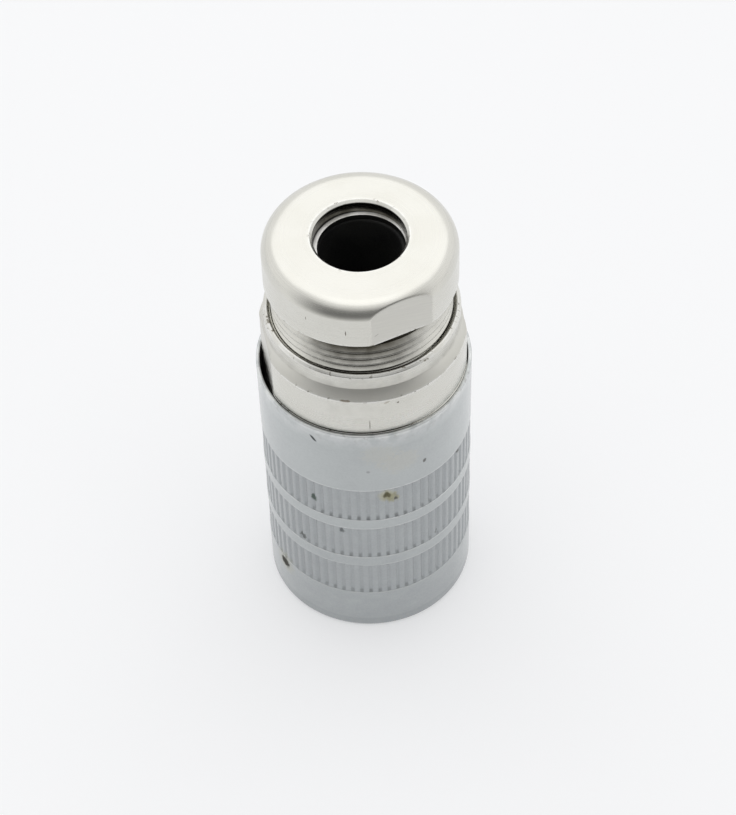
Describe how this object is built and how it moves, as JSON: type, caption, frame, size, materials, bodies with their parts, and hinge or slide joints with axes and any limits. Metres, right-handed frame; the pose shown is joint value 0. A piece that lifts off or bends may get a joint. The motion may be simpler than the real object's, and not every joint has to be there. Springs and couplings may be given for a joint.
{
  "type": "circular connector plug",
  "caption": "Round metal cable plug with a fluted screw-coupling sleeve, a body with wrench flats, a cable clamp nut with its gland, and a contact insert.",
  "frame": {"origin": "centre of the sleeve's front face, which is the face the plug stands on", "axes": "+Z along the plug's axis towards the cable; the coding key of the mating cavity lies towards +Y"},
  "size_m": [0.0242, 0.0242, 0.0556],
  "materials": {
    "nickel": "nickel plated, fine turned, lightly marked",
    "satin_metal": "satin plated blue grey, stained in places",
    "bright_steel": "plain turned",
    "black_rubber": "moulded, matt",
    "insert_plastic": "moulded, matt",
    "cage_plastic": "moulded, matt",
    "contact_plating": "gold plated"
  },
  "bodies": {
    "plug": {"plug_body": "nickel", "front_shell": "nickel", "interface_seal": "black_rubber", "front_insulator": "insert_plastic", "rear_insulator": "insert_plastic", "insert_lock_ring": "cage_plastic", "sleeve_o_ring": "black_rubber", "shield_ferrule": "bright_steel", "clamp_cage": "cage_plastic", "sealing_grommet": "black_rubber", "contact_pin_1": "contact_plating", "contact_pin_2": "contact_plating", "contact_pin_3": "contact_plating", "contact_pin_4": "contact_plating", "contact_pin_5": "contact_plating", "contact_pin_6": "contact_plating", "contact_pin_7": "contact_plating", "contact_pin_8": "contact_plating"},
    "sleeve": {"coupling_sleeve": "satin_metal"},
    "washer": {"thrust_washer": "bright_steel"},
    "nut": {"clamp_nut": "nickel"}
  },
  "joints": [
    {"name": "sleeve_turn", "type": "hinge", "parent": "plug", "child": "sleeve", "pos_m": [0, 0, 0.018], "axis": [0, 0, 1], "continuous": true},
    {"name": "nut_travel", "type": "slide", "parent": "plug", "child": "washer", "axis": [0, 0, 1], "range_m": [-0.0042, 0.0045], "deforming": ["sealing_grommet"]},
    {"name": "nut_turn", "type": "hinge", "parent": "washer", "child": "nut", "pos_m": [0, 0, 0.05], "axis": [0, 0, 1], "range_deg": [-1500, 1600]}
  ],
  "couplings": [
    {"joint": "nut_travel", "follows": "nut_turn", "m_per_rad": 0.00015915}
  ]
}
